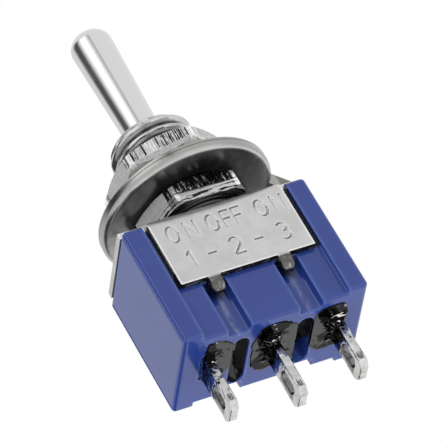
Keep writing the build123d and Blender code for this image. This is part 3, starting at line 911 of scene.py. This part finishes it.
# Each sign is drawn in a cell one wide and one high, as lines of points.
signs = {
    "O": [oval(0.5, 0.5, 1, 1)],
    "N": [[(0, 0), (0, 1)], [(0, 1), (1, 0)], [(1, 0), (1, 1)]],
    "F": [[(0, 0), (0, 1)], [(0, 1), (1, 1)], [(0, 0.52), (0.85, 0.52)]],
    "1": [[(0.15, 0.75), (0.55, 1)], [(0.55, 1), (0.55, 0)]],
    "2": [arc(0.5, 0.7, 0.9, 0.6, 165, -35) + [(0.05, 0)], [(0.05, 0), (1, 0)]],
    "3": [arc(0.45, 0.74, 0.85, 0.52, 150, -90), arc(0.45, 0.26, 1, 0.52, 90, -150)],
    "-": [[(0.05, 0.5), (0.95, 0.5)]],
}
# The upper edge of each row below the plate, and its signs with their places and widths.
word_rows = [
    (-1.15, [("O", -3.95, 0.75), ("N", -2.6, 0.7), ("O", -1.1, 0.75), ("F", 0.05, 0.6),
             ("F", 0.85, 0.6), ("O", 2.4, 0.78), ("N", 3.7, 0.7)]),
    (-3.4, [("1", -3.6, 0.75), ("-", -2.15, 0.7), ("2", -0.45, 0.8), ("-", 1.2, 0.7),
            ("3", 3.0, 0.75)]),
]


def groove_tool(points, front):
    """A V-shaped groove along a line of points on the front face."""
    lift = 0.05
    wide = stroke_width / 2 * (1 + lift / stroke_depth)
    rings = []
    for i, (x, z) in enumerate(points):
        before, after = points[max(i - 1, 0)], points[min(i + 1, len(points) - 1)]
        run = Vector((after[0] - before[0], after[1] - before[1])).normalized()
        rings.append([(x - run.y * wide, front - lift, z + run.x * wide),
                      (x + run.y * wide, front - lift, z - run.x * wide),
                      (x, front + stroke_depth, z)])
    return skinned(rings, ends=True)


def bent_tab(x, side):
    """A tab that curls in under the case's shoulder, its end rough from the shears."""
    face = housing_high.y
    start = housing_low.z + 0.95
    rings = []
    for i in range(11):
        bend = math.radians(max(0.0, (i - 2) * tab_bend / 8))
        drop = 0.1 * min(i, 2) + (tab_bend_radius * math.sin(bend))
        inset = tab_bend_radius * (1 - math.cos(bend))
        outer = (face - inset, start - drop)
        inner = (outer[0] - sheet * math.cos(bend), outer[1] + sheet * math.sin(bend))
        narrow = 0.06 * max(0, i - 8)
        ring = []
        for y, z, edge in ((*outer, -1), (*outer, 1), (*inner, 1), (*inner, -1)):
            rough = 0.05 * noise.noise(Vector((x * 3.1, y * 4.0, z * 4.0 + edge)))
            ring.append((x + edge * (tab_width / 2 - narrow) + rough, side * y, z + rough))
        rings.append(ring)
    form = skinned(rings, ends=True)
    bmesh.ops.bevel(form, geom=form.edges[:], offset=0.07, segments=2, affect="EDGES",
                    clamp_overlap=True)
    return form


def make_housing():
    """The folded sheet with its words stamped in and its tabs bent under the case."""
    form = solid_from("housing")
    lip = housing_low.z + 0.9            # the flaps end here and the tabs go on
    form = cut(form, block((-7, -5, housing_low.z - 1), (7, 5, lip)))
    front = housing_low.y
    for top, letters in word_rows:
        for sign, x, width in letters:
            for line in signs[sign]:
                points = [(x + width * u, plate_top + top - letter_height * (1 - v))
                          for u, v in line]
                form = cut(form, groove_tool(points, front))
    tabs = [bent_tab(x, side) for x in (-tab_x, tab_x) for side in (-1, 1)]
    piece("housing_stamped", joined(form, *tabs), "housing_steel", 30, "housing")


# ---- resin round the lugs --------------------------------
resin_step = 0.055
film = 0.05
wick_height = 0.42
wick_fall = 0.17             # how fast the climbing resin thins away from a lug
lump_fall = 0.25
pocket_margin = 0.2          # resin round each lug in its pocket
resin_front = -2.66          # ends of the sheets along Y
resin_back = 2.3
well_half_width = 0.6
well_half_length = 2.3
well_y = 0.15


def sheet_over(xs, ys, surface, under):
    """A closed skin between a surface and an underside, both heights over a net of points."""
    form = bmesh.new()
    upper = [[form.verts.new((x, y, surface(x, y))) for x in xs] for y in ys]
    lower = [[form.verts.new((x, y, under(x, y))) for x in xs] for y in ys]
    for j in range(len(ys) - 1):
        for i in range(len(xs) - 1):
            form.faces.new((upper[j][i], upper[j + 1][i], upper[j + 1][i + 1], upper[j][i + 1]))
            form.faces.new((lower[j][i], lower[j][i + 1], lower[j + 1][i + 1], lower[j + 1][i]))
    nx, ny = len(xs) - 1, len(ys) - 1
    edge = ([(0, i) for i in range(nx)] + [(j, nx) for j in range(ny)]
            + [(ny, i) for i in range(nx, 0, -1)] + [(j, 0) for j in range(ny, 0, -1)])
    for (ja, ia), (jb, ib) in zip(edge, edge[1:] + edge[:1]):
        form.faces.new((upper[ja][ia], upper[jb][ib], lower[jb][ib], lower[ja][ia]))
    bmesh.ops.recalc_face_normals(form, faces=form.faces)
    return form


def steps_between(start, end, step):
    count = max(2, round((end - start) / step))
    return [start + (end - start) * i / count for i in range(count + 1)]


def resin_sheet(name, x_start, x_end, reach, seed):
    """Resin that fills a lug's pocket, has spread over the case's bottom and climbs the lug.

    Its reach is how far it spreads from the lug's middle to -X, +X, -Y and +Y."""
    low, high = span("seal_" + name)
    middle = (low.x + high.x) / 2
    lug_half = ((high.x - low.x) / 2 - pocket_margin, (high.y - low.y) / 2 - pocket_margin)
    lug_y = (low.y + high.y) / 2
    bottom = case_low.z

    def surface(x, y):
        u = (x - middle) / (reach[1] if x > middle else reach[0])
        v = (y - lug_y) / (reach[3] if y > lug_y else reach[2])
        edge = 0.16 * noise.noise(Vector((x * 0.9, y * 0.9, seed)))
        edge += 0.05 * noise.noise(Vector((x * 3.0, y * 3.0, seed)))
        spread = (1.0 - (abs(u) ** 3 + abs(v) ** 3) ** (1 / 3) + edge) * 1.2
        gap = math.hypot(max(abs(x - middle) - lug_half[0], 0),
                         max(abs(y - lug_y) - lug_half[1], 0))
        climb = 0.45 + 0.9 * noise.noise(Vector((x * 1.7, y * 1.7, seed + 3)))
        climb += 0.5 * noise.noise(Vector((x * 5.0, y * 5.0, seed + 9)))
        in_front = min(max((lug_y - lug_half[1] + 0.1 - y) / 0.1, 0.0), 1.0)
        climb += (0.55 - 0.2 * climb) * in_front
        side = min((x - x_start) / 0.3, (x_end - x) / 0.3, 1.0)
        wick = max(climb, 0.0) * wick_height * math.exp(-gap / wick_fall) * side
        lumps = 0.12 * noise.noise(Vector((x * 5.0, y * 5.0, seed + 5)))
        lumps = lumps * math.exp(-gap / lump_fall) * side
        out = min(film, spread) + (wick + lumps if spread > 0 else 0)
        return bottom - max(out, -0.1)

    def under(x, y):
        in_pocket = low.x < x < high.x and low.y < y < high.y
        return high.z if in_pocket else bottom + 0.15

    return sheet_over(steps_between(x_start, x_end, resin_step),
                      steps_between(resin_front, resin_back, resin_step), surface, under)


def resin_pool(x, seed, depth, fill):
    """Resin that has run into a well and dried hollow, up the walls."""
    bottom = case_low.z

    def reach_y(u):
        return well_half_length - well_half_width * (1 - math.sqrt(max(0.0, 1 - u * u)))

    def placed(form):
        for point in form.verts:
            u = (point.co.x - x) / well_half_width
            point.co.y = well_y + (point.co.y - well_y) / well_half_length * reach_y(u)
        return form

    def surface(px, py):
        u = (px - x) / well_half_width
        v = (py - well_y) / well_half_length
        rough = 0.18 * noise.noise(Vector((px * 1.5, py * 0.8, seed)))
        rough += 0.05 * noise.noise(Vector((px * 4.0, py * 2.0, seed + 2)))
        hollow = (1 - u * u) * (1 - v ** 6)
        return bottom + min(depth * hollow ** 0.6 + 0.12 + rough + 1.1 * max(0.0, v - fill), 1.45)

    half = well_half_width * 0.998
    return placed(sheet_over(
        steps_between(x - half, x + half, 0.05),
        steps_between(well_y - well_half_length, well_y + well_half_length, 0.08),
        surface, lambda px, py: bottom + 1.5))


def make_resins():
    well_x = lug_pitch / 2
    inner, outer = well_x - well_half_width, well_x + well_half_width
    left = joined(resin_sheet("left", -5.16, -outer, (0.28, 1.9, 2.45, 1.45), 2.0),
                  resin_pool(-well_x, 5.0, 0.9, 1.0))
    centre = joined(resin_sheet("centre", -inner, inner, (1.45, 1.95, 2.35, 2.3), 13.0),
                    resin_pool(well_x, 9.0, 0.9, -0.1))
    right = resin_sheet("right", outer, 5.5, (1.9, 0.75, 2.6, 2.1), 24.0)
    for name, form in (("left", left), ("centre", centre), ("right", right)):
        piece("resin_" + name, form, "resin_black", 60, "seal_" + name)


# ---- the pieces ------------------------------------------
for node_name, finish_name in node_finishes.items():
    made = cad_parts[node_name].data
    if not made.materials:
        made.materials.append(None)
    for place in range(len(made.materials)):
        made.materials[place] = finishes[finish_name]
make_bushing()
make_lever()
make_coil()
make_nut("nut_lower", "lower_nut", turn=2.0, low_face=4.3, stain=0.75, calm=212.0, seed=3.0)
make_nut("nut_upper", "upper_nut", turn=44.0, low_face=nut_face_radius, stain=0.0, calm=194.0,
         seed=8.0)
make_lock_washer()
make_housing()
for number, lug in enumerate(("left", "centre", "right")):
    make_lug(lug, 7.0 * number)
make_resins()


# ---- studio ----------------------------------------------
def make_floor():
    """A pale floor under the lugs, seen from above only."""
    form = bmesh.new()
    bmesh.ops.create_grid(form, x_segments=1, y_segments=1, size=2.0)
    bmesh.ops.translate(form, vec=(0, 0, cad_low.z), verts=form.verts)
    floor = mesh_object("floor", form)
    f = Finish("floor_white")
    pale = f.node("ShaderNodeBsdfDiffuse", (), {"Color": (0.93, 0.93, 0.93, 1)})
    clear = f.node("ShaderNodeBsdfTransparent")
    under = f.node("ShaderNodeNewGeometry", output="Backfacing")
    floor.data.materials.append(f.ended(f.node("ShaderNodeMixShader", (),
                                               {0: under, 1: pale, 2: clear})))
    floor.visible_diffuse = floor.visible_glossy = floor.visible_shadow = False


def make_world():
    """Even white light, a little stronger from below, with flags beside it for the plated parts."""
    world = bpy.data.worlds.new("studio")
    bpy.context.scene.world = world
    world.use_nodes = True
    f = Tree(world.node_tree)
    f.tree.nodes.clear()
    x, y, z = f.parts(f.node("ShaderNodeTexCoord", output="Generated"))
    # angle round the upright axis, counted both ways from the front's side
    turn = y.angle_to(x) * (180 / math.pi) + (114.5 + 720.0)
    right = turn.remainder(360.0)
    left = 360.0 - right
    flag = left.above(42, 64) * left.below(86, 110)
    wall = left.above(95, 115) * left.below(140, 172)
    box = left.above(0.0, 2.0) * left.below(32, 46)
    line = right.above(8, 13) * right.below(17, 22)
    high = z.between(0.15, 0.9, 0.15)
    under = (0.0 - z).above(0.0, 0.4)
    # the dark sides of the room: behind on the right, and low behind on the left
    back = right.between(150, 212, 14) * z.between(-0.05, 0.9, 0.2)
    low_left = right.between(200, 275, 14) * (0.0 - z).above(0.1, 0.3)
    low_left = low_left * (0.0 - z).below(0.8, 0.95)
    level = 1.0 - high * (flag * 0.9 + line * 0.5 + wall * 0.25) + high * box * 0.6 + under * 0.15
    lamp = right.between(15, 85, 20) * (0.0 - z).between(0.25, 0.8, 0.15)
    end = right.between(205, 262, 16) * z.between(0.2, 0.9, 0.15)
    level = (level + lamp * 0.3 + end * 0.17) * (1.0 - back * 0.2) * (1.0 - low_left * 0.95)
    shine, plain, white = (
        f.node("ShaderNodeBackground", (), {"Color": (1, 1, 1, 1), "Strength": strength})
        for strength in (level, 0.85 + under * 0.4, 1.0))
    path = f.node("ShaderNodeLightPath").socket.node.outputs
    glossy, camera = Field(f, path["Is Glossy Ray"]), Field(f, path["Is Camera Ray"])
    through = Field(f, path["Is Transmission Ray"])
    lit = f.node("ShaderNodeMixShader", (), {0: glossy, 1: plain, 2: shine})
    seen = f.node("ShaderNodeMixShader", (), {0: camera.highest(through), 1: lit, 2: white})
    f.node("ShaderNodeOutputWorld", (), {"Surface": seen})


def make_lamp(name, at, aim, size, power):
    """A round soft lamp. Its place, aim and size are in metres."""
    data = bpy.data.lights.new(name, "AREA")
    data.shape, data.size, data.energy = "DISK", size, power
    lamp = linked(name, data)
    lamp.location = at
    lamp.rotation_euler = (Vector(aim) - Vector(at)).to_track_quat("-Z", "Y").to_euler()
    lamp.visible_glossy = lamp.visible_camera = False


def make_camera():
    """A long lens from below, in front and to the left."""
    data = bpy.data.cameras.new("camera")
    data.lens, data.sensor_width = 367.7, 36.0
    data.clip_start, data.clip_end = 0.01, 10.0
    camera = linked("camera", data)
    at = Vector((-104.9, -230.7, -163.6)) * MM
    aim = Vector((1.41, -0.65, -3.05)) * MM
    look = (aim - at).to_track_quat("-Z", "Y").to_matrix().to_4x4()
    roll = Matrix.Rotation(math.radians(-30.9), 4, "Z")
    camera.matrix_world = Matrix.Translation(at) @ look @ roll
    bpy.context.scene.camera = camera


make_floor()
make_world()
make_lamp("key", at=(-0.25, -0.35, 0.12), aim=(0, 0, -0.003), size=0.2, power=0.2)
make_camera()
bpy.context.scene.view_settings.view_transform = "Standard"
